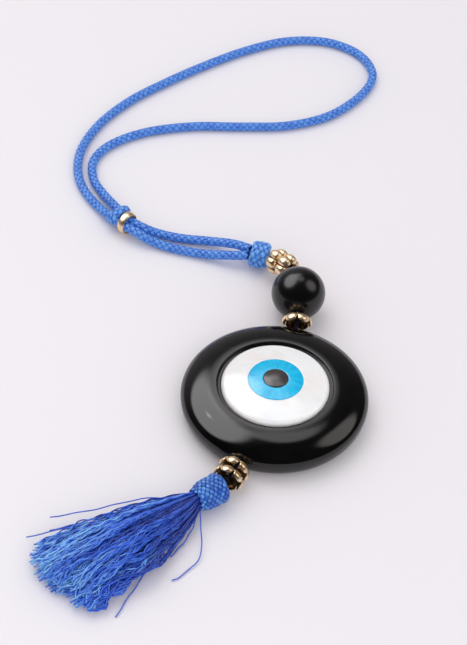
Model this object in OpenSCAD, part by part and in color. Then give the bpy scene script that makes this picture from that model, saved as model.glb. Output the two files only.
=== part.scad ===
// Evil eye hanging ornament: a black stone disc with an inlaid shell eye, strung between a
// cord loop with a round bead above it and a fringed tassel below it.
// The disc lies on its flat back. The origin is the centre of that back, +Z points out of the
// eye and +Y runs along the drilled string hole towards the hanging loop.

/* [Disc] */
// Outside diameter of the stone disc
disc_d = 50; // [46:0.5:54]
// Height of the disc at the edge of its recess
disc_h = 9.5; // [9:0.1:11]
// Height of the widest part of the rim
rim_z = 4.7; // [4:0.1:5.2]
// Radius of the flat back
back_r = 21.8; // [19:0.1:23]
// Radius of the recess that holds the eye
recess_r = 15.4; // [15:0.1:16]

/* [Eye] */
// Radius of the white shell dome
white_r = 14.4; // [13.6:0.1:14.6]
// Height of the white dome's crown above the disc's back
dome_top = 11.7; // [11.2:0.1:12.5]
// Radius of the iris inlay
iris_r = 7.35; // [6:0.05:8.5]
// Radius of the pupil inlay
pupil_r = 3.35; // [2.5:0.05:4]

/* [String] */
// Diameter of the string that carries the beads
string_d = 1.1; // [0.8:0.1:1.2]
// Diameter of the hole drilled through the disc
hole_d = 1.8; // [1.4:0.1:2]
// Sideways offset of the drilled hole from the disc's centre
hole_x = -1.5; // [-3:0.5:0]

/* [Beads] */
// Diameter of the round stone bead
ball_d = 15; // [14:0.5:15]
// Outside diameter of the two lobed spacers
spacer_d = 7.6; // [7:0.1:8]
// Length of a spacer along the string
spacer_len = 3.8; // [3:0.1:4]
// Number of lobes on a spacer
spacer_lobes = 8; // [6:1:9]
// Diameter of the bead holes
bead_bore = 1.4; // [1.3:0.1:1.8]

/* [Bead caps] */
// Mouth diameter of each cap
cap_d = 8.2; // [7.8:0.1:8.4]
// Length of each cap along the string
cap_len = 3.3; // [3:0.1:3.3]
// Number of petals on each cap
cap_petals = 6; // [5:1:8]
// Thickness of the cap metal
cap_wall = 0.5; // [0.4:0.05:0.6]

/* [Cord] */
// Diameter of the braided cord
cord_d = 2.75; // [2.4:0.05:2.8]
// Inside diameter of the slide ring
ring_bore = 5.9; // [5.8:0.1:6.2]
// Outside diameter of the slide ring
ring_d = 6.7; // [6.6:0.1:7]
// Width of the slide ring
ring_w = 2.2; // [1.6:0.1:2.4]
// Diameter of the wrapped knot above the beads
top_knot_d = 8.2; // [7.5:0.1:8.4]
// Length of the wrapped knot
top_knot_len = 6.6; // [6:0.1:7]
// Diameter of the sliding knot
slide_knot_d = 7.2; // [6.6:0.1:7.4]
// Length of the sliding knot
slide_knot_len = 5; // [4:0.1:5.4]

/* [Tassel] */
// Diameter of the knitted tassel head
head_d = 8.2; // [7.5:0.1:8.6]
// Length of the tassel head
head_len = 8; // [7:0.1:9]
// Thickness of the knitted sleeve on the head
sleeve_wall = 0.8; // [0.6:0.1:1.2]
// Length of the thread skirt
skirt_len = 42.5; // [35:0.5:48]
// Width of the skirt at its tips
skirt_w = 24.8; // [20:0.1:27]

/* [Hidden] */
$fn = 64;

disc_r = disc_d / 2;
ball_r = ball_d / 2;
fit_gap = 0.05;          // between an inlay and its pocket
arc_step = 5;            // degrees between points on a rounded outline

// Heights inside the disc
string_z = 5.2;          // middle of the drilled hole
pocket_z = 6.5;          // floor of the pocket under the white dome
groove_z = 8.6;          // floor of the shadow groove round the dome
iris_floor = 9.6;        // floor of the iris pocket in the white dome
pupil_floor = 10.3;      // floor of the pupil pocket in the iris
dome_r = 50;             // radius of the dome's crown
white_roll = 1.1;        // radius of the dome's rolled edge
pupil_rise = 0.3;        // how far the pupil stands proud of the iris

// Points on the string, from the disc outwards
exit_in = 0.4;           // how far inside the rim the string bends
string_gap = 0.3;        // between two runs of string that bend against each other
upper_exit = [hole_x, disc_r - exit_in, string_z];
lower_exit = [hole_x, exit_in - disc_r, string_z];
ball_c = [-4.7, 36.8, ball_r];
ball_heading = 16;       // heading of the ball's hole
ball_in = ball_c - ball_r * toward(ball_heading);
ball_out = ball_c + ball_r * toward(ball_heading);
link_heading = 57;
link_fall = -12;
knot_in = [-17, 51.2, top_knot_d / 2 + 0.1];
lower_heading = 170;
lower_fall = -4.2;
tassel_heading = 144;
tie_c = [-2.94, -32.7, 4.6];
tie_r = 0.55;
neck_r = 2.5;            // the skirt's threads are gathered to this radius
neck_len = 1.4;
tassel_start = [-3.1, -33.4, head_d / 2 + 0.05];

// Distances along each run of string
upper_cap_at = 1.75;
inner_spacer_at = 5.2;
outer_spacer_at = 9.3;
link_len = 11.6;
lower_cap_at = 1.1;      // crown of the cap below the disc
tassel_cap_at = 4.3;     // crown of the cap over the tassel, just inside the other one's mouth
lower_string_len = 7.5;

// The ring lies where the doubled cord is straight
ring_c = [-61, 51.4, ring_d / 2 + 0.02];
ring_heading = 250;
slide_knot_c = [-65, 53.7, slide_knot_d / 2 + 0.05];
slide_knot_heading = 58;

// Route of the cord's centre: out of the top knot, through the ring and the sliding knot,
// round the loop, and back through both to the top knot
cord_route = [
    [-23.6, 49.8, 4.2], [-29, 49, 3.1], [-37, 48.4, 1.6], [-46, 47.9, 1.4], [-52.5, 48, 2.1],
    [-57.2, 48.6, 3.4], [-62.9, 50.6, 3.4], [-66.5, 52.6, 3.1], [-71, 56, 1.9],
    [-76.6, 60.5, 1.4], [-81.5, 66, 1.4], [-85.1, 73.8, 1.4], [-86.4, 83.1, 1.4], [-85, 94.5, 1.4],
    [-80.5, 107, 1.4], [-73.5, 119, 1.4], [-65, 131.5, 1.4], [-55, 144, 1.4],
    [-44, 153.8, 1.4], [-31.5, 158.2, 1.4], [-20, 155.7, 1.4], [-13, 147.5, 1.4],
    [-13.2, 136.5, 1.4], [-19.7, 122.6, 1.4], [-30.5, 113, 1.4], [-44, 107.2, 1.4],
    [-58, 102, 1.4], [-70.5, 94.3, 1.4], [-78.5, 85, 1.4], [-80.8, 76, 1.4],
    [-77.8, 68, 1.4], [-72.5, 62.5, 1.6], [-66.8, 57.2, 3], [-61.9, 53.2, 3.4],
    [-56.3, 51.2, 3.4], [-51.5, 51.7, 2], [-44.5, 52.7, 1.4], [-36.5, 53.8, 2],
    [-29, 53.6, 3.5], [-23.6, 52.6, 4.2]];
cord_sides = 8;
rings_per_span = 2;

// Heading is measured from +Y, anticlockwise seen from above; rise is above the horizon
function toward(heading, rise = 0) =
    [-sin(heading) * cos(rise), cos(heading) * cos(rise), sin(rise)];
function heading_of(v) = atan2(-v[0], v[1]);
function rise_of(v) = atan2(v[2], norm([v[0], v[1]]));

// Carries its children to a point with their +Z along a direction
module aim(point, heading, rise = 0) {
    translate(point) rotate([0, 0, heading]) rotate([rise - 90, 0, 0]) children();
}

function arc(centre, rx, ry, from, to, step) =
    [for (i = [0 : round(abs(to - from) / step)])
        let (a = from + (to - from) * i / round(abs(to - from) / step))
        [centre[0] + rx * cos(a), centre[1] + ry * sin(a)]];

// ---- The disc and the eye ----

module disc_outline() {
    crown_r = recess_r + 0.3;
    polygon(concat(
        [[0, 0]],
        arc([back_r, rim_z], disc_r - back_r, rim_z, -90, 0, arc_step),
        arc([crown_r, rim_z], disc_r - crown_r, disc_h - rim_z, arc_step, 90, arc_step),
        [[recess_r, disc_h - 0.3], [recess_r, groove_z], [white_r + fit_gap, groove_z],
         [white_r + fit_gap, pocket_z - fit_gap], [0, pocket_z - fit_gap]]));
}

module stone_disc() {
    color("#0c0c0e") difference() {
        rotate_extrude() disc_outline();
        aim([hole_x, -disc_d, string_z], 0) cylinder(d = hole_d, h = 2 * disc_d, $fn = 32);
    }
}

function dome_z(r) = dome_top - dome_r + sqrt(dome_r * dome_r - r * r);

function dome_curve(from, to, lift = 0) =
    [for (i = [0 : 6]) let (r = from + (to - from) * i / 6) [r, dome_z(r) + lift]];

module eye_white() {
    roll_r = white_r - white_roll;
    roll_z = dome_z(roll_r) - white_roll;
    color("#f6f6f2") difference() {
        rotate_extrude() polygon(concat(
            [[0, pocket_z], [white_r, pocket_z]],
            arc([roll_r, roll_z], white_roll, white_roll, 0, 75, 15),
            dome_curve(roll_r, 0)));
        translate([0, 0, iris_floor]) cylinder(r = iris_r, h = 5);
    }
}

module eye_iris() {
    color("#00b4e8") difference() {
        rotate_extrude() polygon(concat(
            [[0, iris_floor + fit_gap], [iris_r - fit_gap, iris_floor + fit_gap]],
            dome_curve(iris_r - fit_gap, 0)));
        translate([0, 0, pupil_floor]) cylinder(r = pupil_r, h = 5);
    }
}

module eye_pupil() {
    bead_r = pupil_r - fit_gap;
    edge_z = dome_z(bead_r) - 0.1;
    crown = pupil_rise + 0.1 + dome_z(0) - dome_z(bead_r);
    color("#4c4444") rotate_extrude() polygon(concat(
        [[0, pupil_floor + fit_gap], [bead_r, pupil_floor + fit_gap]],
        arc([0, edge_z], bead_r, crown, 0, 90, 10)));
}

// ---- String ----

module string_run(from, to) {
    v = to - from;
    color("#1d3fae") aim(from, heading_of(v), rise_of(v))
        cylinder(d = string_d, h = norm(v), $fn = 24);
}

module disc_string() {
    string_run(lower_exit + [0, string_gap, 0], upper_exit - [0, string_gap, 0]);
}

module cap_string() { string_run(upper_exit, ball_in); }

module ball_string() { string_run(ball_in, ball_out); }

module link_string() {
    along = toward(link_heading, link_fall);
    string_run(ball_out + 2 * string_gap * along, ball_out + link_len * along);
}

module lower_string() { string_run(lower_exit, on_lower(lower_string_len)); }

function on_lower(s) = lower_exit + s * toward(lower_heading, lower_fall);

// ---- Beads and metal ----

module ball_bead() {
    color("#0c0c0e") difference() {
        translate(ball_c) sphere(r = ball_r);
        aim(ball_c - ball_d * toward(ball_heading), ball_heading)
            cylinder(d = bead_bore, h = 2 * ball_d, $fn = 32);
    }
}

// A spacer centred on the origin, its hole along Z
module spacer() {
    lobe_r = spacer_d * 0.2;
    ring_r = spacer_d / 2 - lobe_r;
    color("#e2bd78") difference() {
        union() {
            cylinder(r = ring_r - 0.1, h = spacer_len, center = true);
            for (i = [0 : spacer_lobes - 1]) rotate(i * 360 / spacer_lobes)
                translate([ring_r, 0, 0]) sphere(r = lobe_r, $fn = 32);
        }
        cylinder(d = bead_bore, h = 2 * spacer_len, center = true, $fn = 32);
    }
}

module on_link(s) {
    aim(ball_out + s * toward(link_heading, link_fall), link_heading, link_fall) children();
}

module inner_spacer() { on_link(inner_spacer_at) spacer(); }

module outer_spacer() { on_link(outer_spacer_at) spacer(); }

// A petal cap with its mouth at z = 0 and its crown at z = cap_len
module petal_cap() {
    mouth_r = cap_d / 2;
    bore_r = bead_bore / 2;
    crown_r = 1.2;
    crown_h = 0.45;
    bowl_h = cap_len - crown_h;
    notch_r = mouth_r * sin(180 / cap_petals) * 0.42;
    notch_h = cap_len * 0.5;
    notch_from = mouth_r * 0.45;
    color("#e2bd78") difference() {
        rotate_extrude() polygon(concat(
            arc([bore_r, 0], mouth_r - bore_r - cap_wall, bowl_h - cap_wall, 90, 0, 10),
            [for (p = arc([bore_r, 0], mouth_r - bore_r, bowl_h, 0, 90, 10))
                if (p[0] > crown_r) p],
            [[crown_r, bowl_h], [crown_r, cap_len], [bore_r, cap_len]]));
        for (i = [0 : cap_petals - 1]) rotate((i + 0.5) * 360 / cap_petals) {
            translate([notch_from, 0, notch_h - notch_r]) rotate([0, 90, 0])
                cylinder(r = notch_r, h = mouth_r, $fn = 32);
            translate([notch_from, -notch_r, -1])
                cube([mouth_r, 2 * notch_r, notch_h - notch_r + 1]);
        }
    }
}

module upper_disc_cap() {
    v = ball_in - upper_exit;
    h = heading_of(v);
    r = rise_of(v);
    aim(upper_exit + upper_cap_at * toward(h, r), h, r) petal_cap();
}

// A cap on the lower string with its crown towards the disc
module cap_on_lower(crown_at) {
    aim(on_lower(crown_at + cap_len), lower_heading + 180, -lower_fall) petal_cap();
}

module lower_disc_cap() { cap_on_lower(lower_cap_at); }

module tassel_cap() { cap_on_lower(tassel_cap_at); }

module slide_ring() {
    wall = (ring_d - ring_bore) / 2;
    color("#e2bd78") aim(ring_c, ring_heading) rotate_extrude() polygon(concat(
        [[ring_bore / 2, -ring_w / 2]],
        arc([ring_bore / 2 + wall / 2, 0], wall / 2, ring_w / 2, -90, 90, 15),
        [[ring_bore / 2, ring_w / 2]]));
}

// ---- Cord and knots ----

function tangent(i) =
    let (n = len(cord_route))
    i == 0 ? cord_route[1] - cord_route[0]
    : i == n - 1 ? cord_route[n - 1] - cord_route[n - 2]
    : (cord_route[i + 1] - cord_route[i - 1]) / 2;

// A point on the smooth curve through the route, t from 0 to 1 along span i
function on_route(i, t) =
    (2 * pow(t, 3) - 3 * pow(t, 2) + 1) * cord_route[i]
    + (pow(t, 3) - 2 * pow(t, 2) + t) * tangent(i)
    + (3 * pow(t, 2) - 2 * pow(t, 3)) * cord_route[i + 1]
    + (pow(t, 3) - pow(t, 2)) * tangent(i + 1);

function route_points() = concat(
    [for (i = [0 : len(cord_route) - 2]) for (k = [0 : rings_per_span - 1])
        on_route(i, k / rings_per_span)],
    [cord_route[len(cord_route) - 1]]);

function unit(v) = v / norm(v);

// Closes n rings of points, each with the same number of sides, into one solid
module skin(rings, n, sides) {
    walls = [for (i = [0 : n - 2]) for (k = [0 : sides - 1])
        let (a = i * sides + k, b = i * sides + (k + 1) % sides)
        each [[a, b, b + sides], [a, b + sides, a + sides]]];
    end = concat([for (k = [0 : sides / 2 - 2]) [k, k + 1, sides - k - 1]],
                 [for (k = [1 : sides / 2 - 1]) [k, sides - k - 1, sides - k]]);
    last = (n - 1) * sides * [1, 1, 1];
    polyhedron(rings, concat(walls, [for (f = end) [f[2], f[1], f[0]]],
                             [for (f = end) f + last]));
}

// Sweeps a regular polygon along a line of points, level side up
module sweep(points, radius, sides) {
    n = len(points);
    rings = [for (i = [0 : n - 1])
        let (along = unit(points[min(i + 1, n - 1)] - points[max(i - 1, 0)]),
             side = unit(cross(along, [0, 0, 1])),
             up = cross(side, along))
        for (k = [0 : sides - 1])
            let (a = (k + 0.5) * 360 / sides)
            points[i] + radius * (cos(a) * side + sin(a) * up)];
    skin(rings, n, sides);
}

module cord_loop() {
    color("#2f6fe0") sweep(route_points(), cord_d / 2, cord_sides);
}

// A barrel of wound cord from z = 0 to z = length, with a ridge for each turn
module wound_barrel(d, length, turns, corner) {
    ridge = 0.12;
    steps = turns * 4;
    color("#2f6fe0") rotate_extrude() polygon(concat(
        [[0, 0]],
        arc([d / 2 - corner, corner], corner - ridge, corner, -90, 0, 30),
        [for (i = [1 : steps - 1]) let (z = corner + (length - 2 * corner) * i / steps)
            [d / 2 - ridge * (0.5 + 0.5 * cos(i * 90)), z]],
        arc([d / 2 - corner, length - corner], corner - ridge, corner, 0, 90, 30),
        [[0, length]]));
}

module top_knot() {
    aim(knot_in, 90) wound_barrel(top_knot_d, top_knot_len, 4, 1.9);
}

module slide_knot() {
    aim(slide_knot_c - slide_knot_len / 2 * toward(slide_knot_heading), slide_knot_heading)
        wound_barrel(slide_knot_d, slide_knot_len, 2, 1.6);
}

// ---- Tassel ----

module on_tassel(s) {
    aim(tassel_start + s * toward(tassel_heading), tassel_heading) children();
}

// The small knot by which the tassel hangs
module tassel_tie() {
    color("#1d3fae") translate(tie_c) sphere(r = tie_r, $fn = 32);
}

module tassel_head() {
    corner = 2.2;
    r = head_d / 2;
    inner = r - sleeve_wall;
    color("#3b74e6") on_tassel(0) rotate_extrude() polygon(concat(
        [[0.6, 0]],
        arc([r - corner, corner], corner, corner, -90, 0, 15),
        arc([r - 0.6, head_len - 0.6], 0.6, 0.6, 0, 90, 15),
        [[inner, head_len]],
        arc([inner - corner + sleeve_wall, corner], corner - sleeve_wall,
            corner - sleeve_wall, 0, -90, 15),
        [[0.6, sleeve_wall]]));
}

// The folded bundle of threads that fills the sleeve
module tassel_core() {
    r = head_d / 2 - sleeve_wall - fit_gap;
    corner = 1.6;
    from = sleeve_wall + fit_gap;
    color("#2458cf") on_tassel(0) rotate_extrude() polygon(concat(
        [[0, from]],
        arc([r - corner, from + corner], corner, corner, -90, 0, 15),
        [[r, head_len - 1.2], [neck_r, head_len - fit_gap], [0, head_len - fit_gap]]));
}

module tassel_neck() {
    color("#1d4fc4") on_tassel(head_len) rotate_extrude() polygon(concat(
        [[0, 0], [neck_r, 0]],
        arc([neck_r, neck_len / 2], 0.35, neck_len / 2, -90, 90, 15),
        [[0, neck_len]]));
}

// Half width, half height and middle height of the skirt at a share t of its length
function skirt_half_w(t) = neck_r + (skirt_w / 2 - neck_r) * pow(sin(90 * t), 0.75);
function skirt_half_h(t) = 2.6 + 1.2 * sin(180 * pow(t, 0.8));
function skirt_mid_z(t) =
    let (from = tassel_start[2], to = skirt_half_h(t) + 0.05)
    t < 0.35 ? from + (to - from) * t / 0.35 : to;

module tassel_skirt() {
    stations = 10;
    sides = 16;
    side_short = 3;      // the side threads end this far short of the middle ones
    along = toward(tassel_heading);
    across = toward(tassel_heading + 90);
    from = tassel_start + (head_len + neck_len + fit_gap) * along;
    rings = [for (i = [0 : stations]) let (t = i / stations)
        for (k = [0 : sides - 1])
            let (a = k * 360 / sides)
            [from[0], from[1], 0]
            + (t * skirt_len - side_short * pow(t * cos(a), 2)) * along
            + skirt_half_w(t) * cos(a) * across
            + [0, 0, skirt_mid_z(t) + skirt_half_h(t) * sin(a)]];
    color("#2a63dc") skin(rings, stations + 1, sides);
}

stone_disc();
eye_white();
eye_iris();
eye_pupil();
disc_string();
cap_string();
upper_disc_cap();
ball_string();
ball_bead();
link_string();
inner_spacer();
outer_spacer();
top_knot();
cord_loop();
slide_knot();
slide_ring();
lower_string();
lower_disc_cap();
tassel_cap();
tassel_tie();
tassel_head();
tassel_core();
tassel_neck();
tassel_skirt();
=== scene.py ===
import math
import bpy
import numpy as np
from mathutils import Matrix, Vector


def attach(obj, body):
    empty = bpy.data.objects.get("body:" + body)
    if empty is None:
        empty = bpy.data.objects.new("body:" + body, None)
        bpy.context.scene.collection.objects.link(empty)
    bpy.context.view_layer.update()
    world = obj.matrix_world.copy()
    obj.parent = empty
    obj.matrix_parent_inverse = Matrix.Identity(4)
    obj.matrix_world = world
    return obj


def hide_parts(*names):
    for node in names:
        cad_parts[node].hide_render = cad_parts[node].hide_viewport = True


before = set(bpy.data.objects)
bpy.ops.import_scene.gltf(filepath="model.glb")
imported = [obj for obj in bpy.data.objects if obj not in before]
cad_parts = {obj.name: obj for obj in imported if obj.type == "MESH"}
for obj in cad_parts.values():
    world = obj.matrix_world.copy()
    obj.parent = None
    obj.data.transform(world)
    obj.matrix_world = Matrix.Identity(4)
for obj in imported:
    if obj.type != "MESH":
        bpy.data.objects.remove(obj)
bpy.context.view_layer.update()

MM = 0.001
rng = np.random.RandomState(11)


# ---------------------------------------------------------------- geometry helpers, in mm

def unit(v):
    v = np.asarray(v, float)
    return v / np.linalg.norm(v, axis=-1, keepdims=True)


def toward(heading, rise=0.0):
    h, r = math.radians(heading), math.radians(rise)
    return np.array([-math.sin(h) * math.cos(r), math.cos(h) * math.cos(r), math.sin(r)])


def heading_of(v):
    return math.degrees(math.atan2(-v[0], v[1]))


def rise_of(v):
    return math.degrees(math.atan2(v[2], math.hypot(v[0], v[1])))


class Place:
    """Carries local points to a spot, with their +Z along a heading and rise."""

    def __init__(self, point, heading, rise=0.0, turn=0.0):
        h, t = math.radians(heading), math.radians(turn)
        z = toward(heading, rise)
        x0 = np.array([math.cos(h), math.sin(h), 0.0])
        y0 = np.cross(z, x0)
        x = math.cos(t) * x0 + math.sin(t) * y0
        self.m = np.stack([x, np.cross(z, x), z])
        self.p = np.asarray(point, float)

    def __call__(self, pts):
        return np.asarray(pts, float) @ self.m + self.p


def smooth_line(points, per_span=24):
    """The same smooth curve through the points that the CAD cord follows."""
    p = np.asarray(points, float)
    tan = np.gradient(p, axis=0)
    t = np.linspace(0, 1, per_span, endpoint=False)[:, None]
    out = []
    for i in range(len(p) - 1):
        out.append((2 * t**3 - 3 * t**2 + 1) * p[i] + (t**3 - 2 * t**2 + t) * tan[i]
                   + (3 * t**2 - 2 * t**3) * p[i + 1] + (t**3 - t**2) * tan[i + 1])
    return np.vstack(out + [p[-1:]])


def resample(line, n):
    seg = np.linalg.norm(np.diff(line, axis=0), axis=1)
    s = np.concatenate([[0], np.cumsum(seg)])
    at = np.linspace(0, s[-1], n)
    return np.stack([np.interp(at, s, line[:, k]) for k in range(3)], 1), s[-1]


def carry_frames(line):
    """Two directions across the line, per point, that don't twist about it."""
    a = np.array([0.0, 0.0, 1.0])
    side, up = [], []
    for t in unit(np.gradient(line, axis=0)):
        a = unit(a - np.dot(a, t) * t)
        side.append(a)
        up.append(np.cross(t, a))
    return np.array(side), np.array(up)


class Shape:
    """Gathers grids of points into one mesh, with UVs in millimetres and a tone per point."""

    def __init__(self):
        self.v, self.f, self.uv, self.tone, self.n = [], [], [], [], 0

    def grid(self, pts, uv=None, tone=0.5, loop=False, flip=False):
        """pts[i][j]: i along, j around and closed. loop closes i too; without it, the ends are
        capped. flip turns the faces over."""
        pts = np.asarray(pts, float)
        ni, nj = pts.shape[:2]
        idx = np.arange(ni * nj).reshape(ni, nj) + self.n
        if loop:
            idx = np.vstack([idx, idx[:1]])
        idx = np.hstack([idx, idx[:, :1]])
        a, b, c, d = idx[:-1, :-1], idx[1:, :-1], idx[1:, 1:], idx[:-1, 1:]
        order = (a, b, c, d) if flip else (a, d, c, b)
        faces = np.stack(order, -1).reshape(-1, 4)
        if uv is None:
            du = np.linalg.norm(np.diff(pts.mean(1), axis=0), axis=1)
            u = np.concatenate([[0], np.cumsum(du)])
            if loop:
                u = np.concatenate([u, [u[-1] * (1 + 1 / ni)]])
            v = np.linspace(0, 1, idx.shape[1])
        else:
            u, v = uv
        uu, vv = np.meshgrid(u, v, indexing="ij")
        w = np.stack([uu, vv], -1)
        q = (w[:-1, :-1], w[1:, :-1], w[1:, 1:], w[:-1, 1:])
        q = q if flip else (q[0], q[3], q[2], q[1])
        self.v.append(pts.reshape(-1, 3))
        self.tone.append(np.broadcast_to(np.asarray(tone, float).reshape(-1, 1)
                                         if np.ndim(tone) == 1 else tone, (ni, nj)).reshape(-1))
        self.f.extend(faces.tolist())
        self.uv.append(np.stack(q, -2).reshape(-1, 2))
        if not loop:
            for row, back in ((0, not flip), (ni - 1, flip)):
                ends = (np.arange(nj) + self.n + row * nj).tolist()
                self.f.append(ends if not back else ends[::-1])
                self.uv.append(np.tile([[u[row], 0.5]], (nj, 1)))
        self.n += ni * nj

    def finish(self, name, material, body, slot, replaces=(), sharp=None, subdivide=0):
        mesh = bpy.data.meshes.new(name)
        mesh.from_pydata((np.vstack(self.v) * MM).tolist(), [], self.f)
        layer = mesh.uv_layers.new(name="UVMap")
        layer.data.foreach_set("uv", np.vstack(self.uv).astype(np.float32).ravel())
        tone = mesh.attributes.new("tone", "FLOAT", "POINT")
        tone.data.foreach_set("value", np.concatenate(self.tone).astype(np.float32))
        mesh.polygons.foreach_set("use_smooth", [True] * len(mesh.polygons))
        mesh.validate()
        mesh.update()
        if sharp is not None:
            mesh.set_sharp_from_angle(angle=math.radians(sharp))
        obj = bpy.data.objects.new(name, mesh)
        bpy.context.scene.collection.objects.link(obj)
        mesh.materials.append(material)
        if subdivide:
            sub = obj.modifiers.new("Smooth", "SUBSURF")
            sub.levels = sub.render_levels = subdivide
        if replaces:
            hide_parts(*replaces)
        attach(obj, body)
        return obj


def tube(shape, line, radius, sides, tone):
    """A round tube along a line."""
    a, b = carry_frames(line)
    ang = np.linspace(0, 2 * math.pi, sides, endpoint=False)
    pts = line[:, None] + radius * (np.cos(ang)[None, :, None] * a[:, None]
                                    + np.sin(ang)[None, :, None] * b[:, None])
    shape.grid(pts, tone=tone)


def lathe(shape, profile, segments, place=None, tone=0.5, loop=False):
    """Turns an outline of [radius, height] about the local Z axis."""
    profile = np.asarray(profile, float)
    ang = np.linspace(0, 2 * math.pi, segments, endpoint=False)
    pts = np.stack([profile[:, :1] * np.cos(ang), profile[:, :1] * np.sin(ang),
                    np.repeat(profile[:, 1:], segments, 1)], -1)
    if place is not None:
        pts = place(pts.reshape(-1, 3)).reshape(pts.shape)
    shape.grid(pts, tone=tone, loop=loop)


def plait(shape, s, on_surface, per_turn, carriers=8, thick=0.31, wide=0.6, swell=0.16,
          sides=8, squeeze=None, phase=0.0, tone=0.5, spread=0.06):
    """Yarns plaited over and under each other on a surface.

    s runs along the surface, and on_surface(angles) gives points and outward directions there.
    Half of the yarns wind each way. A yarn lies on top in every other column, so that the
    columns show leaning stitches that meet in Vs."""
    half = carriers // 2
    for way in (1, -1):
        for i in range(half):
            ang = way * 2 * math.pi * (s / per_turn + i / half) + phase
            bump = way * np.cos(half * (ang - phase))
            base, out = on_surface(ang)
            line = base + swell * bump[:, None] * out
            tan = unit(np.gradient(line, axis=0))
            out = unit(out - (out * tan).sum(1, keepdims=True) * tan)
            across = np.cross(tan, out)
            a = np.linspace(0, 2 * math.pi, sides, endpoint=False)
            fat = (1 + 0.1 * bump)[:, None, None]
            pts = (line[:, None] + thick * np.cos(a)[None, :, None] * out[:, None]
                   + wide * fat * np.sin(a)[None, :, None] * across[:, None])
            if squeeze is not None:
                pts = squeeze(pts)
            yarn = np.linalg.norm(np.diff(line, axis=0), axis=1)
            uv = (np.concatenate([[0], np.cumsum(yarn)]) + 7 * i, np.linspace(0, 1, sides + 1))
            # Painted shade: a yarn's tone drops where it dips under its neighbours and rises where
            # it lies on top. spread adds random variation.
            shape.grid(pts, tone=tone + spread * rng.uniform(-1, 1) + 0.3 * bump, uv=uv)


def braid(shape, centre, radius, per_turn, **look):
    """A round plaited cord along a centre line."""
    seg = np.linalg.norm(np.diff(centre, axis=0), axis=1)
    s = np.concatenate([[0], np.cumsum(seg)])
    side, up = carry_frames(centre)

    def on_surface(ang):
        out = np.cos(ang)[:, None] * side + np.sin(ang)[:, None] * up
        return centre + radius * out, out

    plait(shape, s, on_surface, per_turn, **look)


# ---------------------------------------------------------------- materials

def shader(name):
    mat = bpy.data.materials.new(name)
    mat.use_nodes = True
    tree = mat.node_tree
    return mat, tree, tree.nodes["Principled BSDF"]


def add(tree, kind, **values):
    node = tree.nodes.new(kind)
    for key, value in values.items():
        if key in node.inputs:
            node.inputs[key].default_value = value
        else:
            setattr(node, key, value)
    return node


def ramp(tree, source, stops):
    node = tree.nodes.new("ShaderNodeValToRGB")
    els = node.color_ramp.elements
    while len(els) < len(stops):
        els.new(0.5)
    for e, (pos, col) in zip(els, stops):
        e.position = pos
        e.color = (*col, 1)
    tree.links.new(source, node.inputs["Fac"])
    return node.outputs["Color"]


def noise(tree, vector, scale, detail=3.0, rough=0.55, distort=0.0):
    node = add(tree, "ShaderNodeTexNoise", Scale=scale, Detail=detail, Roughness=rough,
               Distortion=distort)
    tree.links.new(vector, node.inputs["Vector"])
    return node.outputs["Fac"]


def mapping(tree, source, scale, rotation=(0, 0, 0)):
    node = add(tree, "ShaderNodeMapping", Scale=scale, Rotation=rotation)
    tree.links.new(source, node.inputs["Vector"])
    return node.outputs["Vector"]


def mix(tree, fac, a, b, blend="MIX"):
    node = add(tree, "ShaderNodeMix", data_type="RGBA", blend_type=blend)
    for value, socket in ((fac, node.inputs[0]), (a, node.inputs[6]), (b, node.inputs[7])):
        if isinstance(value, bpy.types.NodeSocket):
            tree.links.new(value, socket)
        else:
            socket.default_value = value if isinstance(value, float) else (*value, 1)
    return node.outputs[2]


def bump(tree, bsdf, height, strength, distance):
    node = add(tree, "ShaderNodeBump", Strength=strength, Distance=distance)
    tree.links.new(height, node.inputs["Height"])
    tree.links.new(node.outputs["Normal"], bsdf.inputs["Normal"])


def span(tree, source, low, high):
    """Maps 0..1 to low..high."""
    node = add(tree, "ShaderNodeMapRange")
    node.inputs["To Min"].default_value = low
    node.inputs["To Max"].default_value = high
    tree.links.new(source, node.inputs["Value"])
    return node.outputs["Result"]


def coords(tree, kind="Object"):
    return add(tree, "ShaderNodeTexCoord").outputs[kind]


def black_stone(name, smoothest, roughest):
    mat, tree, b = shader(name)
    at = coords(tree)
    cloud = noise(tree, at, 90, 4)
    fleck = noise(tree, at, 900, 2)
    dark = ramp(tree, cloud, [(0.35, (0.0012, 0.0011, 0.0012)), (0.75, (0.004, 0.0034, 0.0036))])
    spot = ramp(tree, fleck, [(0.72, (0, 0, 0)), (0.78, (1, 1, 1))])
    tree.links.new(mix(tree, spot, dark, (0.014, 0.012, 0.011)), b.inputs["Base Color"])
    tree.links.new(span(tree, noise(tree, at, 160, 5), smoothest, roughest), b.inputs["Roughness"])
    bump(tree, b, noise(tree, at, 420, 3), 0.02, 0.0004)
    return mat


def white_shell(name):
    mat, tree, b = shader(name)
    at = coords(tree)
    sheet = noise(tree, mapping(tree, at, (70, 160, 70), (0, 0, 0.5)), 1.0, 5, 0.6, 1.6)
    tint = noise(tree, mapping(tree, at, (90, 90, 90)), 1.0, 2, 0.5, 0.8)
    base = ramp(tree, sheet, [(0.3, (0.86, 0.85, 0.83)), (0.5, (0.93, 0.925, 0.915)),
                              (0.7, (0.96, 0.955, 0.95))])
    glow = ramp(tree, tint, [(0.35, (1.0, 0.965, 0.95)), (0.5, (0.99, 1.0, 1.0)),
                             (0.65, (0.955, 0.98, 1.0))])
    tree.links.new(mix(tree, 1.0, base, glow, "MULTIPLY"), b.inputs["Base Color"])
    b.inputs["Subsurface Weight"].default_value = 0.12
    b.inputs["Subsurface Radius"].default_value = (1.0, 0.9, 0.8)
    b.inputs["Subsurface Scale"].default_value = 0.0012
    tree.links.new(span(tree, sheet, 0.1, 0.2), b.inputs["Roughness"])
    b.inputs["Coat Weight"].default_value = 0.3
    b.inputs["Coat Roughness"].default_value = 0.04
    bump(tree, b, sheet, 0.03, 0.0004)
    return mat


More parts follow.
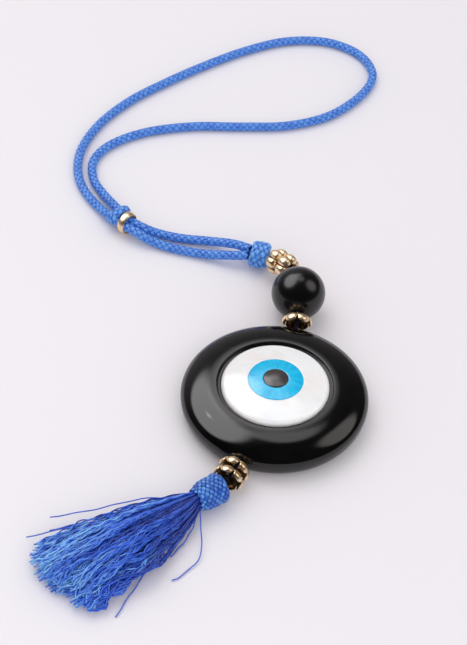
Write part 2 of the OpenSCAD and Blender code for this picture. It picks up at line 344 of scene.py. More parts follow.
def blue_iris(name):
    mat, tree, b = shader(name)
    at = coords(tree)
    flat = add(tree, "ShaderNodeVectorMath", operation="MULTIPLY")
    flat.inputs[1].default_value = (1, 1, 0)
    tree.links.new(at, flat.inputs[0])
    way = add(tree, "ShaderNodeVectorMath", operation="NORMALIZE")
    tree.links.new(flat.outputs[0], way.inputs[0])
    far = add(tree, "ShaderNodeVectorMath", operation="LENGTH")
    tree.links.new(flat.outputs[0], far.inputs[0])
    streak_at = add(tree, "ShaderNodeVectorMath", operation="MULTIPLY_ADD")
    tree.links.new(way.outputs[0], streak_at.inputs[0])
    streak_at.inputs[1].default_value = (1, 1, 1)
    soft = add(tree, "ShaderNodeVectorMath", operation="SCALE", Scale=45.0)
    tree.links.new(flat.outputs[0], soft.inputs[0])
    tree.links.new(soft.outputs[0], streak_at.inputs[2])
    streak = noise(tree, streak_at.outputs[0], 6.0, 4, 0.65)
    patch = noise(tree, at, 230, 3, 0.6, 0.6)
    blue = ramp(tree, streak, [(0.3, (0.0, 0.34, 0.72)), (0.46, (0.0, 0.47, 0.82)),
                               (0.6, (0.0, 0.58, 0.88)), (0.8, (0.02, 0.7, 0.93))])
    pale = ramp(tree, patch, [(0.4, (0.0, 0.5, 0.82)), (0.7, (0.06, 0.66, 0.92))])
    tree.links.new(mix(tree, 0.3, blue, pale), b.inputs["Base Color"])
    b.inputs["Roughness"].default_value = 0.14
    b.inputs["Coat Weight"].default_value = 0.5
    b.inputs["Coat Roughness"].default_value = 0.06
    bump(tree, b, streak, 0.03, 0.0003)
    return mat


def dark_pupil(name):
    mat, tree, b = shader(name)
    at = coords(tree)
    base = ramp(tree, noise(tree, at, 500, 3), [(0.35, (0.032, 0.027, 0.029)),
                                                (0.7, (0.06, 0.05, 0.053))])
    speck = ramp(tree, noise(tree, at, 1500, 2), [(0.62, (0, 0, 0)), (0.72, (1, 1, 1))])
    tree.links.new(mix(tree, speck, base, (0.14, 0.045, 0.035)), b.inputs["Base Color"])
    b.inputs["Roughness"].default_value = 0.22
    b.inputs["Coat Weight"].default_value = 0.4
    b.inputs["Coat Roughness"].default_value = 0.14
    bump(tree, b, noise(tree, at, 900, 3), 0.05, 0.0002)
    return mat


def gold(name):
    mat, tree, b = shader(name)
    at = coords(tree)
    tone = add(tree, "ShaderNodeAttribute", attribute_name="tone").outputs["Fac"]
    wear = noise(tree, at, 700, 4)
    bright = ramp(tree, wear, [(0.3, (0.9, 0.64, 0.37)), (0.7, (1.0, 0.8, 0.56))])
    # Painted shade: where the tone attribute is low, the base colour turns to dark brown gold. The
    # caps and spacers set it low inside the petals, at petal edges, in lobe valleys and by the
    # bores.
    shaded_gold = ramp(tree, wear, [(0.3, (0.1, 0.05, 0.018)), (0.7, (0.26, 0.15, 0.06))])
    shade_mask = ramp(tree, tone, [(0.1, (1, 1, 1)), (0.5, (0, 0, 0))])
    tree.links.new(mix(tree, shade_mask, bright, shaded_gold), b.inputs["Base Color"])
    b.inputs["Metallic"].default_value = 1.0
    tree.links.new(span(tree, wear, 0.26, 0.4), b.inputs["Roughness"])
    bump(tree, b, noise(tree, at, 1600, 3), 0.08, 0.0001)
    return mat


def fibre(name, dark, mid, light, rough=0.45, across=(0.5, 9.0), sheen=0.1):
    """Fine filaments that run along a yarn's own length, from its UVs."""
    mat, tree, b = shader(name)
    uv = coords(tree, "UV")
    strands = noise(tree, mapping(tree, uv, (across[0], across[1], 1), (0, 0, 0.05)), 1.0, 4, 0.6)
    fleck = noise(tree, coords(tree), 2600, 2)
    tone = add(tree, "ShaderNodeAttribute", attribute_name="tone").outputs["Fac"]
    body = ramp(tree, tone, [(0.1, dark), (0.5, mid), (0.95, light)])
    hair = ramp(tree, strands, [(0.3, (0.62, 0.66, 0.72)), (0.55, (1, 1, 1)),
                                (0.75, (1.25, 1.2, 1.12))])
    col = mix(tree, 1.0, body, hair, "MULTIPLY")
    # Painted glints: random specks mixed towards the light colour in the base colour.
    glint = ramp(tree, fleck, [(0.6, (0, 0, 0)), (0.78, (0.5, 0.5, 0.5))])
    tree.links.new(mix(tree, glint, col, light), b.inputs["Base Color"])
    tree.links.new(span(tree, strands, rough - 0.08, rough + 0.12), b.inputs["Roughness"])
    b.inputs["Sheen Weight"].default_value = sheen
    b.inputs["Sheen Roughness"].default_value = 0.4
    b.inputs["Sheen Tint"].default_value = (0.45, 0.68, 1.0, 1.0)
    bump(tree, b, strands, 0.5, 0.00012)
    return mat


STONE = black_stone("black_stone_look", 0.09, 0.15)
BEAD = black_stone("round_bead_look", 0.19, 0.25)
SHELL = white_shell("white_shell_look")
IRIS = blue_iris("blue_iris_look")
PUPIL = dark_pupil("dark_pupil_look")
GOLD = gold("gold_look")
CORD = fibre("braided_cord_look", (0.003, 0.02, 0.2), (0.015, 0.11, 0.62), (0.18, 0.5, 1.0), 0.28)
HEAD = fibre("knitted_thread_look", (0.003, 0.02, 0.2), (0.01, 0.1, 0.52), (0.2, 0.52, 1.0), 0.26)
THREAD = fibre("tassel_thread_look", (0.003, 0.02, 0.27), (0.02, 0.13, 0.8), (0.24, 0.56, 1.0), 0.3,
               (0.9, 5.0))
# Painted shade: the string is near black to match the dark inside the caps where it shows.
STRING = fibre("bead_string_look", (0.001, 0.002, 0.01), (0.002, 0.004, 0.02), (0.004, 0.01, 0.04),
               0.6, sheen=0.0)

# ---------------------------------------------------------------- camera

camera = bpy.data.objects.new("Camera", bpy.data.cameras.new("Camera"))
bpy.context.scene.collection.objects.link(camera)
bpy.context.scene.camera = camera
cam_right = (0.94904, 0.31278, 0.03872)
cam_up = (-0.24837, 0.66658, 0.70284)
cam_ahead = (-0.19402, 0.67664, -0.71029)
cam_at = Vector((0.0827, -0.33173, 0.37626))
camera.matrix_world = Matrix.Translation(cam_at) @ Matrix(
    [[cam_right[k], cam_up[k], -cam_ahead[k]] for k in range(3)]).to_4x4()
camera.data.sensor_fit = "AUTO"
camera.data.sensor_width = 36
camera.data.lens = 106.05
camera.data.clip_start = 0.01
camera.data.clip_end = 20
bpy.context.scene.view_settings.view_transform = "Standard"

# ---------------------------------------------------------------- sizes shared with the CAD, in mm

disc_r, disc_h, rim_z, back_r, recess_r, white_r = 25.0, 9.5, 4.7, 21.8, 15.4, 14.4
groove_z, pocket_z, dome_top, dome_r = 8.6, 6.5, 11.7, 50.0
iris_r, pupil_r, iris_floor, pupil_floor = 7.35, 3.35, 9.6, 10.3
string_z, hole_x, ball_r = 5.2, -1.5, 7.5
upper_exit, lower_exit = np.array([hole_x, 24.6, string_z]), np.array([hole_x, -24.6, string_z])
ball_c = np.array([-4.7, 36.8, 7.5])
ball_in, ball_out = ball_c - ball_r * toward(16), ball_c + ball_r * toward(16)
link = toward(57, -12)
knot_in = np.array([-17, 51.2, 4.2])
lower = toward(170, -4.2)
tie_c = np.array([-2.94, -32.7, 4.6])
tassel_start = np.array([-3.1, -33.4, 4.15])
head_len, neck_len = 8.0, 1.4
cap_r, cap_len = 4.1, 3.3
spacer_r, spacer_half = 3.8, 1.9

# ---------------------------------------------------------------- the cord

route = [
    (-23.6, 49.8, 4.2), (-29, 49, 3.1), (-37, 48.4, 1.6), (-46, 47.9, 1.4), (-52.5, 48, 2.1),
    (-57.2, 48.6, 3.4), (-62.9, 50.6, 3.4), (-66.5, 52.6, 3.1), (-71, 56, 1.9),
    (-76.6, 60.5, 1.4), (-81.5, 66, 1.4), (-85.1, 73.8, 1.4), (-86.4, 83.1, 1.4), (-85, 94.5, 1.4),
    (-80.5, 107, 1.4), (-73.5, 119, 1.4), (-65, 131.5, 1.4), (-55, 144, 1.4),
    (-44, 153.8, 1.4), (-31.5, 158.2, 1.4), (-20, 155.7, 1.4), (-13, 147.5, 1.4),
    (-13.2, 136.5, 1.4), (-19.7, 122.6, 1.4), (-30.5, 113, 1.4), (-44, 107.2, 1.4),
    (-58, 102, 1.4), (-70.5, 94.3, 1.4), (-78.5, 85, 1.4), (-80.8, 76, 1.4),
    (-77.8, 68, 1.4), (-72.5, 62.5, 1.6), (-66.8, 57.2, 3), (-61.9, 53.2, 3.4),
    (-56.3, 51.2, 3.4), (-51.5, 51.7, 2), (-44.5, 52.7, 1.4), (-36.5, 53.8, 2),
    (-29, 53.6, 3.5), (-23.6, 52.6, 4.2)]
cord_pitch, steps_per_turn = 8.0, 22
yarn_ring, core_r = 0.94, 0.86
plain_cord_r = 1.41  # yarn_ring with a yarn's swell and half its thickness


def above_floor(pts, lowest=0.01):
    pts[..., 2] = np.maximum(pts[..., 2], lowest)
    return pts


fine = smooth_line(route)
cord_len = resample(fine, 4)[1]
line, _ = resample(fine, int(cord_len / cord_pitch * steps_per_turn))
cord_shape = Shape()
braid(cord_shape, line, yarn_ring, cord_pitch, phase=0.4, squeeze=above_floor)
core, _ = resample(fine, 260)
# The core is painted shade: the darkest tone, seen in the gaps between the yarns.
tube(cord_shape, core, core_r, 8, tone=0.0)
cord = cord_shape.finish("braided_cord", CORD, "loop", "blue_cord", ["cord_loop"])

# ---------------------------------------------------------------- the disc and the eye


def arc(cx, cz, rx, rz, start, end, n):
    a = np.radians(np.linspace(start, end, n))
    return np.stack([cx + rx * np.cos(a), cz + rz * np.sin(a)], 1).tolist()


def dome_z(r):
    return dome_top - dome_r + math.sqrt(dome_r**2 - r * r)


def dome(start, end, n):
    return [[r, dome_z(r)] for r in np.linspace(start, end, n)]


axis_r = 0.05  # outlines start this far from the axis
fit_gap, lip_r, fillet, mouth_r = 0.05, 0.25, 0.12, 0.1
stone = Shape()
lathe(stone, [[axis_r, 0], [8, 0], [16, 0], [21, 0]]
      + arc(back_r, rim_z, disc_r - back_r, rim_z, -90, 0, 26)
      + arc(recess_r + 0.3, rim_z, disc_r - recess_r - 0.3, disc_h - rim_z, 3, 90, 40)
      + arc(recess_r + lip_r, disc_h - lip_r, lip_r, lip_r, 90, 180, 7)[1:]
      + [[recess_r, 9.0], [recess_r, 8.72]]
      + arc(recess_r - fillet, groove_z + fillet, fillet, fillet, 0, -90, 4)
      + [[14.9, groove_z], [white_r + 0.15, groove_z]]
      + arc(white_r + 0.15, groove_z - mouth_r, mouth_r, mouth_r, 90, 180, 4)[1:]
      + [[white_r + fit_gap, 7.5], [white_r + fit_gap, pocket_z - fit_gap],
         [7, pocket_z - fit_gap], [axis_r, pocket_z - fit_gap]],
      256)
stone_disc = stone.finish("polished_disc", STONE, "disc", "black_stone", ["stone_disc"])
drill = Shape()
drill_r, drill_reach = 0.9, 40
lathe(drill, [[drill_r, -drill_reach], [drill_r, drill_reach]], 40, Place([hole_x, 0, string_z], 0))
drill_obj = drill.finish("drill", STONE, "disc", "black_stone")
cut = stone_disc.modifiers.new("Drilled", "BOOLEAN")
cut.object, cut.operation, cut.solver = drill_obj, "DIFFERENCE", "EXACT"
bpy.context.view_layer.update()
cut_disc = stone_disc.evaluated_get(bpy.context.evaluated_depsgraph_get())
drilled = bpy.data.meshes.new_from_object(cut_disc)
stone_disc.modifiers.clear()
stone_disc.data = drilled
bpy.data.objects.remove(drill_obj)
drilled.set_sharp_from_angle(angle=math.radians(40))

white = Shape()
roll = 1.5  # the dome's rolled edge
roll_r = white_r - roll
lathe(white, [[axis_r, pocket_z], [7, pocket_z], [white_r - 0.1, pocket_z]]
      + arc(white_r - 0.1, pocket_z + 0.1, 0.1, 0.1, -90, 0, 3)[1:] + [[white_r, 8]]
      + arc(roll_r, dome_z(roll_r) - roll, roll, roll, 0, 76, 14)
      + dome(roll_r + 0.1, iris_r + 0.06, 22)
      + [[iris_r, dome_z(iris_r) - 0.06], [iris_r, 10.2], [iris_r, iris_floor], [3, iris_floor],
         [axis_r, iris_floor]], 192)
white.finish("shell_dome", SHELL, "disc", "white_shell", ["eye_white"], sharp=50)

iris = Shape()
inlay_gap = 0.03
edge = iris_r - inlay_gap
lathe(iris, [[axis_r, iris_floor + inlay_gap], [4, iris_floor + inlay_gap],
             [edge, iris_floor + inlay_gap], [edge, dome_z(edge) - 0.05]]
      + dome(edge - 0.06, pupil_r + 0.05, 16)
      + [[pupil_r, dome_z(pupil_r) - 0.05], [pupil_r, pupil_floor], [1, pupil_floor],
         [axis_r, pupil_floor]], 160)
iris.finish("iris_inlay", IRIS, "disc", "blue_iris", ["eye_iris"], sharp=50)

pupil = Shape()
bead_r = pupil_r - inlay_gap
crown = 0.36  # the height of the pupil's own dome
lathe(pupil, [[axis_r, pupil_floor + inlay_gap], [2, pupil_floor + inlay_gap],
              [bead_r, pupil_floor + inlay_gap], [bead_r, dome_z(bead_r) - 0.12]]
      + arc(bead_r - 0.16, dome_z(bead_r) - 0.1, 0.16, 0.2, 10, 70, 5)
      + [[r, dome_z(bead_r) + 0.1 + crown * (1 - (r / bead_r) ** 2)]
         for r in np.linspace(bead_r - 0.2, axis_r, 14)],
      128)
pupil.finish("pupil_inlay", PUPIL, "disc", "dark_pupil", ["eye_pupil"], sharp=60)

# ---------------------------------------------------------------- the ball

ball = Shape()
bore = 0.7
lip = math.degrees(math.asin(0.95 / ball_r))
lathe(ball, arc(0, 0, ball_r, ball_r, 90 - lip, lip - 90, 96)
      + [[0.78, -ball_r + 0.16], [bore, -ball_r + 0.4], [bore, 0], [bore, ball_r - 0.4],
         [0.78, ball_r - 0.16]],
      128, Place(ball_c, 16), loop=True)
ball.finish("round_bead", BEAD, "ball", "black_stone", ["ball_bead"], sharp=40)

# ---------------------------------------------------------------- gold caps, spacers and ring


def spacer(name, node, at, turn):
    """A bead with rounded lobes that run along its hole."""
    place = Place(ball_out + at * link, 57, -12, turn)
    lobes, around, across, bore_r = 6, 192, 40, 0.76
    valley, end_valley = 1.15, 0.45
    phi = np.linspace(0, 2 * math.pi, around, endpoint=False)
    psi = np.linspace(0, 2 * math.pi, across, endpoint=False)
    in_lobe = np.abs((phi * lobes / (2 * math.pi)) % 1 * 2 - 1)
    swell = np.sqrt(1 - 0.97 * (1 - in_lobe) ** 2)
    outer = spacer_r - valley * (1 - swell)
    half = spacer_half - end_valley * (1 - swell)
    middle, reach = (outer + bore_r) / 2, (outer - bore_r) / 2
    cp, sp = np.cos(psi)[:, None], np.sin(psi)[:, None]
    r = middle + reach * cp
    z = half * np.sign(sp) * np.abs(sp) ** 0.8
    pts = np.stack([r * np.cos(phi), r * np.sin(phi), z], -1)
    shape = Shape()
    shape.grid(place(pts.reshape(-1, 3)).reshape(pts.shape), loop=True, flip=True)
    # Painted shade: the tone drops in the valleys between lobes and near the bore, and the gold
    # look turns it dark brown.
    shape.tone[-1] = (np.clip(1.3 * swell - 0.3, 0, 1) * np.clip((r - 1.5) / 0.9, 0, 1)).reshape(-1)
    shape.finish(name, GOLD, node, "gold_metal", [node], subdivide=1)


spacer("lobed_spacer_inner", "inner_spacer", 5.2, 8)
spacer("lobed_spacer_outer", "outer_spacer", 9.3, 20)


def petal_cap(name, node, body, place, petals=6):
    """A stamped cap: pillowed leaves that run down from a small crown, with arches between."""
    shape = Shape()
    hub, bowl, rim = 1.0, cap_len - 0.4, cap_r + 0.1
    arch_from, tip_from, arch_depth, curl_in = 0.6, 0.4, 0.14, 0.32
    # Painted shade: the petals' inside walls and edges get low tones, which the gold look turns
    # dark brown.
    pillow_height, crest_tone, edge_shade_tone, inside_shade_tone = 0.34, 1.0, 0.3, 0.1
    rows = np.concatenate([np.linspace(0.04, arch_from, 10), np.linspace(arch_from + 0.02, 0.9, 11),
                           np.linspace(0.91, 1, 8)])
    u = np.linspace(-1, 1, 15)
    for k in range(petals):
        grid, shade = [], []
        for v in rows:
            th = v * math.pi / 2
            r0 = hub + (rim - hub) * math.sin(th) ** 0.75 - curl_in * max(0, 4 * v - 3) ** 2
            z0 = bowl * math.cos(th) ** 0.9
            out_r, out_z = unit([bowl * math.sin(th) + 1e-6, (rim - hub) * math.cos(th)])
            x = max(0.0, (v - arch_from) / (1 - arch_from))
            half = 1.01 - arch_depth * math.sqrt(1 - max(0.0, 1 - 2.2 * x) ** 2)
            if x > tip_from:
                half *= math.sqrt(max(0.02, 1 - ((x - tip_from) / (1.01 - tip_from)) ** 2.6))
            phi = math.pi / petals * half * u + 2 * math.pi * (k + 0.5) / petals
            swell = pillow_height * math.sin(math.pi * min(0.6, 0.1 + 0.7 * v))
            pillow = swell * (1 - np.abs(u) ** 2.2) - pillow_height / 2
            wall = 0.46 - 0.12 * v
            faces = []
            for off, order in ((pillow, slice(None)), (pillow - wall, slice(None, None, -1))):
                rr, zz = r0 + off * out_r, z0 + off * out_z
                faces.append(np.stack([rr * np.cos(phi), rr * np.sin(phi), zz], -1)[order])
            grid.append(np.vstack(faces))
            # painted shade towards each petal's edges and over its inside wall
            outside = crest_tone + (edge_shade_tone - crest_tone) * np.abs(u) ** 9
            shade.append(np.concatenate([outside, np.full(len(u), inside_shade_tone)]))
        pts = np.array(grid)
        shape.grid(place(pts.reshape(-1, 3)).reshape(pts.shape), flip=True)
        shape.tone[-1] = np.array(shade).reshape(-1)
    crown = arc(0.95, cap_len - 0.3, 0.3, 0.3, -90, 90, 9)
    crown += [[0.8, cap_len], [0.72, cap_len - 0.08], [0.72, cap_len - 0.6], [0.8, cap_len - 0.66]]
    lathe(shape, crown, 48, place, tone=0.8, loop=True)
    shape.finish(name, GOLD, body, "gold_metal", [node], subdivide=1)


rise = ball_in - upper_exit
cap_way = (heading_of(rise), rise_of(rise))
upper_cap_at, lower_cap_at, tassel_cap_at = 1.75, 1.1, 4.3
petal_cap("petal_cap_above", "upper_disc_cap", "upper_cap",
          Place(upper_exit + upper_cap_at * unit(rise), *cap_way, turn=29))
petal_cap("petal_cap_below", "lower_disc_cap", "lower_cap",
          Place(lower_exit + (lower_cap_at + cap_len) * lower, 350, 4.2, turn=-8))
petal_cap("petal_cap_tassel", "tassel_cap", "tassel_cap",
          Place(lower_exit + (tassel_cap_at + cap_len) * lower, 350, 4.2, turn=-8))

ring = Shape()
band_r, band_edge = 2.95, 1.02
lathe(ring, arc(2.98, 0, 0.37, 1.1, -90, 90, 21)
      + [[band_r, z] for z in (band_edge, 0.5, 0, -0.5, -band_edge)],
      96, Place([-61, 51.4, 3.37], 250), tone=0.95, loop=True)
ring.finish("slide_band", GOLD, "slide_ring", "gold_metal", ["slide_ring"], sharp=50)

# ---------------------------------------------------------------- knots


def wound_knot(place, mid, turns, pitch, centre_r, oval, cord_r, lean, start, core_r, core_half):
    """Braided cord wound round an axis in leaning turns, its ends tucked in, over a filled core."""
    tuck_share, around = 0.09, 56
    t = np.linspace(0, 1, int(turns * around))
    ang = start + 2 * math.pi * turns * t
    tuck = np.minimum(np.minimum(t, 1 - t) / tuck_share, 1)
    r = centre_r * (0.35 + 0.65 * np.sin(tuck * math.pi / 2)) * (1 - 0.16 * (2 * t - 1) ** 2)
    x, y = oval[0] * r * np.cos(ang), oval[1] * r * np.sin(ang)
    path = np.stack([x, y, pitch * turns * (t - 0.5) + lean * y], -1)

    def settle(pts):
        pts = pts.copy()
        pts[..., 2] += mid
        return place(pts.reshape(-1, 3)).reshape(pts.shape)

    shape = Shape()
    size = cord_r / plain_cord_r
    braid(shape, path, yarn_ring * size, cord_pitch * size, thick=0.31 * size, wide=0.6 * size,
          swell=0.18 * size, squeeze=settle, sides=7, tone=0.55)
    # The core is painted shade: a dark tone for the gaps between the turns.
    lathe(shape, arc(0, mid, core_r, core_half, -86, 86, 13), 32, place, tone=0.1)
    return shape


top_shape = wound_knot(Place(knot_in, 90), mid=3.5, turns=3.2, pitch=1.42, centre_r=2.72,
                       oval=(1, 1), cord_r=1.35, lean=0.22, start=0.6, core_r=3.3, core_half=2.9)
top_knot = top_shape.finish("wound_knot", CORD, "loop", "blue_cord", ["top_knot"])

slide_place = Place(np.array([-65, 53.7, 3.65]) - 2.5 * toward(58), 58)
slide_shape = wound_knot(slide_place, mid=1.7, turns=1.25, pitch=1.2, centre_r=2.25,
                         oval=(1.2, 0.9), cord_r=1.35, lean=0.2, start=2.6, core_r=1.9,
                         core_half=1.3)
slide_knot = slide_shape.finish("sliding_knot", CORD, "loop", "blue_cord", ["slide_knot"])

# ---------------------------------------------------------------- string


def string(name, node, body, points, d=1.1, plies=3, lay=3.4, step=0.22):
    """Thread of a few plies, laid straight through the points."""
    run = np.linalg.norm(np.diff(points, axis=0), axis=1).sum()
    line, length = resample(np.asarray(points, float), max(8, int(run / step)))
    a, b = carry_frames(line)
    s = np.linspace(0, length, len(line))
    shape = Shape()
    for k in range(plies):
        ang = 2 * math.pi * (s / lay + k / plies)
        ply = line + 0.25 * d * (np.cos(ang)[:, None] * a + np.sin(ang)[:, None] * b)
        tube(shape, ply, 0.25 * d, 8, tone=0.4 + 0.15 * k)
    shape.finish(name, STRING, body, "blue_string", [node])


string("string_in_disc", "disc_string", "disc",
       [lower_exit + [0, 0.3, 0], upper_exit - [0, 0.6, 0]])
string("string_to_ball", "cap_string", "upper_string", [upper_exit, ball_in])
string("string_in_ball", "ball_string", "upper_string", [ball_in, ball_out])
string("string_to_loop", "link_string", "upper_link",
       [ball_out + 0.6 * link, ball_out + 11.6 * link])
string("string_below", "lower_string", "lower_string", [lower_exit, lower_exit + 7.5 * lower])

tie = Shape()
tie_r, tie_turns, tie_lean = 0.33, 3, 2.2
t = np.linspace(0, 1, 60)
ang = 2 * math.pi * tie_turns * t
coil = np.stack([tie_r * np.cos(ang) * np.cos(tie_lean * t), tie_r * np.sin(ang),
                 tie_r * np.cos(ang) * np.sin(tie_lean * t) + 0.1 * (t - 0.5)], 1)
tube(tie, tie_c + coil, 0.22, 7, tone=0.5)
tie.finish("tie_knot", STRING, "tassel_link", "blue_string", ["tassel_tie"])

# ---------------------------------------------------------------- the tassel

on_tassel = Place(tassel_start, 144)
outline = np.array([[1.0, 0.6], [1.9, 0.42], [2.9, 0.55], [3.6, 1.0], [3.88, 1.7], [3.72, 2.4],
                    [3.76, 3.6], [3.78, 4.8], [3.66, 6.0], [3.35, 7.0], [3.0, 7.7], [2.75, 8.2],
                    [2.72, 8.6]])
profile, sleeve_len = resample(smooth_line(np.c_[outline, np.zeros(len(outline))], 12), 150)
profile = profile[:, :2]
lean_p = unit(np.gradient(profile, axis=0))
normal_p = np.stack([lean_p[:, 1], -lean_p[:, 0]], 1)


def on_sleeve(ang):
    radial = np.stack([np.cos(ang), np.sin(ang)], 1)
    pts = np.c_[profile[:, :1] * radial, profile[:, 1]]
    out = np.c_[normal_p[:, :1] * radial, normal_p[:, 1]]
    return on_tassel(pts), out @ on_tassel.m


sleeve = Shape()
plait(sleeve, np.linspace(0, sleeve_len, len(profile)), on_sleeve, 17.0, carriers=26, thick=0.2,
      wide=0.48, swell=0.12, sides=6, tone=0.36, spread=0.14)
# The liner is painted shade: a nearly darkest tone seen between the stitches.
lathe(sleeve, np.c_[profile[::6, 0] - 0.2, profile[::6, 1] + 0.02], 40, on_tassel, tone=0.02)
sleeve.finish("knitted_sleeve", HEAD, "tassel", "blue_thread", ["tassel_head"])

along, leftward = toward(144), toward(234)
skirt_from = tassel_start + (head_len + neck_len) * along
skirt_len = 42.5
thread_r, thread_lowest = 0.2, 0.21


def half_w(t):
    return 2.5 + 9.9 * np.sin(np.pi / 2 * t) ** 0.75


def half_h(t):
    return 2.6 + 1.2 * np.sin(np.pi * t**0.8)


def middle_z(t, neck_z=4.15, drop_by=0.35):
    """The skirt leaves the head at neck_z and has come down to the floor by drop_by."""
    to = half_h(t) + 0.05
    return np.where(t < drop_by, neck_z + (to - neck_z) * t / drop_by, to)


def skirt_point(t, w, h):
    """A point in the skirt: t along it, w and h from -1 to 1 across and up.

    The skirt is a little longer on one side, and wider on the other."""
    t = np.asarray(t, float)
    tc = np.clip(t, 0, 1)
    s = t * skirt_len - 3 * (tc * w) ** 2 - 1.8 * tc * w
    aside = half_w(tc) * w * (1 + 0.16 * np.clip(w, 0, 1))
    p = skirt_from + s[:, None] * along + aside[:, None] * leftward
    p[:, 2] = middle_z(tc) + half_h(tc) * h
    return p


threads = Shape()
n_clumps, per_clump, steps = 50, 9, 36
golden_angle = 2.399963
for c in range(n_clumps):
    r = math.sqrt((c + 0.5) / n_clumps)
    a = c * golden_angle
    cw, ch = 0.93 * r * math.cos(a), 0.86 * r * math.sin(a)
    sway = rng.uniform(0, 2 * math.pi, 4)
    clump_len = 1 - 0.05 * rng.rand()
    # clump_tone: random per clump, plus painted light that makes the upper clumps lighter.
    clump_tone = rng.uniform(-0.22, 0.16) + 0.12 * ch
    loose = 1.0 + 1.2 * max(0.0, cw + 0.15)
    for k in range(per_clump):
        end = clump_len * (1 + 0.025 * rng.randn())
        t = np.concatenate([[-0.09, -0.045], np.linspace(0, max(0.8, min(end, 1.03)), steps)])
        tc = np.clip(t, 0, 1)
        own = rng.uniform(-1, 1, 2)
        sep = 0.085 * (0.4 + 0.8 * tc)
        wander = (0.06 * np.sin(6 * tc + sway[0]) + 0.045 * np.sin(15 * tc + sway[1])
                  + 0.03 * np.sin(24 * tc + 5 * own[0]))
        heave = 0.12 * np.sin(7 * tc + sway[2]) + 0.08 * np.sin(17 * tc + sway[3])
        w = cw + sep * own[0] + loose * tc * wander
        h = ch + 2.2 * sep * own[1] + loose * tc * heave
        pts = skirt_point(t, np.clip(w, -1.02, 1.1), np.clip(h, -0.97, 1))
        wave = rng.uniform(0, 2 * math.pi, 2)
        crimp = 0.22 * np.minimum(1, tc * 4)
        freq = rng.uniform(52, 68)
        # Painted highlights: glint lightens the crimps on the upper-left side.
        glint = max(0.0, -cw - 0.1) * np.sin(freq * tc + wave[0])
        pts += (crimp * np.sin(freq * tc + wave[0]))[:, None] * leftward
        pts[:, 2] += crimp * np.sin(freq * 0.8 * tc + wave[1])
        above_floor(pts, thread_lowest)
        # Thread tone: random per clump and per thread, and lighter towards the free ends. Painted
        # light makes the upper clumps and the upper-left side lighter, and glint adds painted
        # highlights there.
        tube(threads, pts, thread_r * rng.uniform(0.85, 1.1), 5,
             tone=np.clip(0.2 + 0.55 * tc + clump_tone + 0.2 * max(0.0, -cw) + 0.5 * glint
                          + 0.2 * rng.uniform(-1, 1), 0, 1))

strays = [
    [(-13, -42.5, 5.3), (-20.7, -45.8, 5.6), (-30.3, -51.7, 4.4), (-37.3, -55.2, 3.2),
     (-41, -56.9, 2.6)],
    [(-19, -47, 5.2), (-27, -52.5, 4.8), (-34, -57.8, 3.8), (-39.5, -60.8, 2.6)],
    [(-18, -46, 4.6), (-27.5, -52.5, 4.2), (-37, -60, 3.2), (-44.3, -64.5, 2.2)],
    [(-6.2, -43, 4), (-4.2, -47.7, 2.4), (-2.1, -53.8, 1.0), (-3, -58, 0.5), (-5.0, -62, 0.4),
     (-6.3, -63.4, 0.4)],
    [(-10, -52, 2.2), (-12.6, -62, 1.2), (-14.4, -72, 0.7), (-15.4, -78.4, 0.4)],
    [(-6.9, -42, 3.6), (-6.4, -47, 2.4), (-7.2, -52, 1.2), (-9, -57, 0.6)],
    [(-20, -57, 5.8), (-29, -66, 5), (-34, -70.5, 3.5), (-37.2, -74.3, 1.0)]]
stray_r, stray_steps = 0.17, 34
for points in strays:
    stray, _ = resample(smooth_line(np.array(points, float), 10), stray_steps)
    stray += 0.12 * np.sin(np.linspace(0, 22, stray_steps))[:, None] * leftward
    tube(threads, above_floor(stray, thread_lowest), stray_r, 5, tone=0.4)
threads.finish("thread_skirt", THREAD, "tassel", "blue_thread",
               ["tassel_skirt", "tassel_core", "tassel_neck"])

# ---------------------------------------------------------------- floor, world and lights

side = 4  # metres from the middle
floor_mesh = bpy.data.meshes.new("floor")
floor_mesh.from_pydata([(-side, -side, 0), (side, -side, 0), (side, side, 0), (-side, side, 0)],
                       [], [(0, 1, 2, 3)])
floor = bpy.data.objects.new("floor", floor_mesh)
bpy.context.scene.collection.objects.link(floor)
floor_mat, _, floor_b = shader("floor_look")
floor_b.inputs["Base Color"].default_value = (0.85, 0.825, 0.85, 1)
floor_b.inputs["Roughness"].default_value = 0.6
floor_mesh.materials.append(floor_mat)

# glossy rays see a dark room with a grey side; all others see a pale one
world = bpy.data.worlds.new("world")
bpy.context.scene.world = world
world.use_nodes = True
sky = world.node_tree
facing = add(sky, "ShaderNodeVectorMath", operation="DOT_PRODUCT")
sky.links.new(coords(sky, "Generated"), facing.inputs[0])
facing.inputs[1].default_value = (-0.55, 0.83, 0)
dark_room = ramp(sky, facing.outputs["Value"],
                 [(0.0, (0.02, 0.019, 0.02)), (0.5, (0.06, 0.056, 0.058)),
                  (0.8, (0.26, 0.245, 0.25)), (1.0, (0.44, 0.42, 0.43))])
pale_room = (0.77, 0.76, 0.782)
in_gloss_ray = add(sky, "ShaderNodeLightPath").outputs["Is Glossy Ray"]
background = sky.nodes["Background"].inputs
sky.links.new(mix(sky, in_gloss_ray, pale_room, dark_room), background["Color"])
background["Strength"].default_value = 1.0


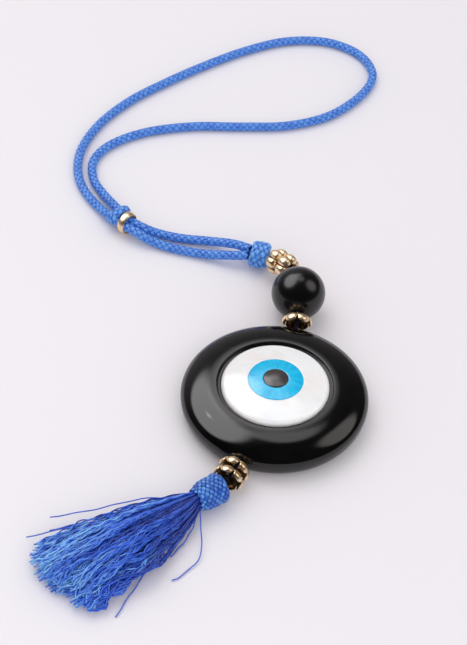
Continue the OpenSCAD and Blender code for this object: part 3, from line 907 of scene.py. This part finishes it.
def softbox(name, way, distance, size, power, colour=(1, 1, 1), fade_from=0.1, in_gloss=True,
            in_diffuse=True):
    """A studio light aimed at the object. It fades from fade_from to its edge, at 0.5."""
    way = Vector(way).normalized()
    data = bpy.data.lights.new(name, "AREA")
    data.shape, data.size, data.size_y = "ELLIPSE", size[0], size[1]
    data.energy, data.color = power, colour
    if fade_from < 0.5:
        data.use_nodes = True
        tree = data.node_tree
        spot = add(tree, "ShaderNodeVectorMath", operation="DISTANCE")
        tree.links.new(add(tree, "ShaderNodeNewGeometry").outputs["Parametric"], spot.inputs[0])
        spot.inputs[1].default_value = (0.5, 0.5, 0)
        fade = ramp(tree, spot.outputs["Value"], [(fade_from, (1, 1, 1)), (0.5, (0, 0, 0))])
        tree.links.new(fade, tree.nodes["Emission"].inputs["Strength"])
    obj = bpy.data.objects.new(name, data)
    bpy.context.scene.collection.objects.link(obj)
    obj.location = Vector((-0.01, 0.01, 0)) + way * distance
    obj.rotation_euler = way.to_track_quat("Z", "Y").to_euler()
    obj.visible_glossy, obj.visible_diffuse = in_gloss, in_diffuse


softbox("key", (-0.57, 0.13, 0.81), 0.9, (1.15, 0.88), 9.5, (1.0, 0.985, 0.98), 0.4,
        in_diffuse=False)
softbox("key_heart", (-0.526, 0.202, 0.826), 0.85, (0.05, 0.05), 0.12, in_diffuse=False)
softbox("back_glow", (-0.2, 0.6, 0.77), 0.9, (0.42, 0.4), 1.0, in_diffuse=False)
softbox("overhead", (0.0, 0.35, 0.94), 0.9, (0.44, 0.44), 0.85, fade_from=0.3, in_diffuse=False)
softbox("side", (0.7, 0.27, 0.66), 0.9, (0.72, 0.8), 2.4, (1.0, 0.96, 0.93), 0.36,
        in_diffuse=False)
softbox("shaping_fill", (-0.4, 0.35, 0.85), 1.0, (0.9, 0.9), 1.9, (1.0, 0.99, 0.98), 0.5,
        in_gloss=False)
softbox("front_fill", (0.45, -0.75, 0.5), 0.9, (0.9, 0.9), 2.0, fade_from=0.5, in_gloss=False)
